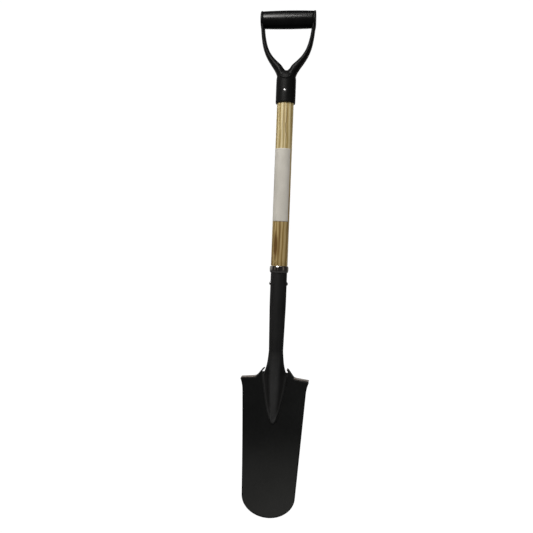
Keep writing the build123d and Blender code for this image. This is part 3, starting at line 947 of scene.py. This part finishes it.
# what shiny surfaces mirror: the walls' colours round the room, counter-clockwise from its -X side
GAP = (0.012, 0.008, 0.007)
STRIP = (0.150, 0.130, 0.110)
PALE = (0.30, 0.30, 0.29)
ROOM = [
    (0.00, STRIP), (0.04, GAP), (0.095, GAP), (0.105, STRIP), (0.125, STRIP), (0.14, GAP),
    (0.20, GAP), (0.215, STRIP), (0.23, GAP), (0.385, GAP), (0.405, STRIP), (0.43, STRIP),
    (0.45, GAP), (0.56, GAP), (0.64, STRIP), (0.72, PALE), (0.92, PALE), (1.00, STRIP),
]
ROOM_FLOOR = (0.004, 0.004, 0.004)
ROOM_FLOOR_TOP = 0.4  # the walls' colours are full from this height up
FLOOR_R, CURVE_R, STAGE_TOP = 2.0, 1.2, 3.6  # flat floor, the curve round it, the backdrop's top


def stage_material(name, colour, glow, dim):
    """Paper as bright as glow to the camera, that lights the spade only as much as dim does."""
    m, nodes, links, shader = material(name)
    plain = coords(nodes, links, (1, 1, 1))
    blotch = noise_node(nodes, links, plain, 3, 3, 0.5)
    low = tuple(c * 0.97 for c in colour)
    feed(nodes, links, shader, "Base Color", blotch, [(0.3, low), (0.7, colour)])
    shader.inputs["Roughness"].default_value = 0.9
    shader.inputs["Specular IOR Level"].default_value = 0.1
    shader.inputs["Emission Strength"].default_value = 1.0
    # glossy rays see a dim room with a dark floor and lighter strips on its walls
    turn = nodes.new("ShaderNodeTexGradient")
    turn.gradient_type = "RADIAL"
    links.new(plain, turn.inputs["Vector"])
    walls = ramp(nodes, links, turn.outputs["Fac"], ROOM)
    place = nodes.new("ShaderNodeSeparateXYZ")
    links.new(plain, place.inputs["Vector"])
    raised = map_range(nodes, links, place.outputs["Z"], 0.0, ROOM_FLOOR_TOP)
    walls = mix(nodes, links, raised, ROOM_FLOOR, walls)
    path = nodes.new("ShaderNodeLightPath")
    seen = mix(nodes, links, path.outputs["Is Glossy Ray"], (dim, dim, dim), walls)
    seen = mix(nodes, links, path.outputs["Is Camera Ray"], seen, (glow, glow, glow))
    links.new(seen, shader.inputs["Emission Color"])
    return m


def make_stage():
    """Pale floor that curves up into a backdrop behind the spade and all round it."""
    rows = []
    profile = [(0.0, 0.0), (1.2, 0.0), (FLOOR_R, 0.0)]
    for turn in range(9, 91, 9):
        a = math.radians(turn)
        profile.append((FLOOR_R + CURVE_R * math.sin(a), CURVE_R - CURVE_R * math.cos(a)))
    profile += [(FLOOR_R + CURVE_R, 2.2), (FLOOR_R + CURVE_R, STAGE_TOP)]
    circle = [2 * math.pi * k / 64 for k in range(64)]
    for r, z in profile:
        r = max(r, 1e-6)
        rows.append([(r * math.cos(a), r * math.sin(a), z - 0.0005) for a in circle])
    mesh = grid_mesh("floor", rows, close=True)
    obj = add("floor", mesh)
    mesh.materials.append(stage_material("floor_paint", (0.05, 0.05, 0.05), 1.0, 0.02))
    mesh.shade_smooth()


make_stage()


def area_light(name, where, aim, size, power, colour=(1, 1, 1), shine=True):
    """A rectangular light aimed at a point; without shine it leaves no highlight."""
    data = bpy.data.lights.new(name, "AREA")
    data.shape = "RECTANGLE"
    data.size, data.size_y = size
    data.energy = power
    data.color = colour
    obj = add(name, data)
    obj.visible_glossy = shine
    obj.location = where
    obj.rotation_euler = (Vector(aim) - Vector(where)).to_track_quat("-Z", "Y").to_euler()


WARM, SOFT_WARM, FAINT_WARM = (1.0, 0.985, 0.955), (1.0, 0.99, 0.97), (1.0, 0.99, 0.985)
MIDDLE, LOW_MIDDLE = (0, 0, 0.65), (0, 0, 0.55)  # points on the spade that the fills aim at
area_light("key", (-0.50, -1.30, 1.88), (0, 0, 0.80), (0.75, 0.6), 24.5, WARM)
area_light("band", (-0.02, -0.86, 2.32), (0, 0, 1.0), (1.7, 0.13), 3.7, SOFT_WARM)
area_light("right", (1.9, -1.3, 0.75), MIDDLE, (1.2, 1.6), 15.5, FAINT_WARM, shine=False)
area_light("left", (-2.0, -0.2, 0.9), MIDDLE, (1.0, 1.4), 10, shine=False)
area_light("back", (-0.4, 2.4, 1.3), LOW_MIDDLE, (1.6, 1.4), 14)
area_light("rear_fill", (1.3, 2.0, 0.9), LOW_MIDDLE, (1.4, 1.6), 30, SOFT_WARM, shine=False)

world = bpy.data.worlds.new("studio")
world.use_nodes = True
world.node_tree.nodes["Background"].inputs["Color"].default_value = (1, 1, 1, 1)
world.node_tree.nodes["Background"].inputs["Strength"].default_value = 0.03
bpy.context.scene.world = world

DISTANCE, EYE_Z = 1.188, 0.5705  # from the shaft's axis to the camera, and the camera's height
YAW, ROLL = math.radians(7.2), math.radians(2.18)
LENS_MM, SENSOR_MM = 36.6079, 36
ASIDE = 0.02959  # how far the camera stands to the left of facing the axis
SHIFT = -0.04034  # of the picture's height


def make_camera():
    """The camera, level with the wood's lower end, turned and rolled a little."""
    data = bpy.data.cameras.new("camera")
    data.sensor_width = SENSOR_MM
    data.lens = LENS_MM
    obj = add("camera", data)
    back = Vector((math.sin(YAW), -math.cos(YAW), 0))
    right = Vector((math.cos(YAW), math.sin(YAW), 0))
    up = Vector((0, 0, 1))
    obj.location = Vector((0, AXIS_Y, EYE_Z)) + back * DISTANCE - right * ASIDE
    rolled_right = right * math.cos(ROLL) + up * math.sin(ROLL)
    rolled_up = up * math.cos(ROLL) - right * math.sin(ROLL)
    basis = Matrix((rolled_right, rolled_up, back)).transposed()
    obj.rotation_euler = basis.to_euler()
    data.shift_y = SHIFT
    data.dof.use_dof = False
    bpy.context.scene.camera = obj


make_camera()
bpy.context.scene.view_settings.view_transform = "Standard"
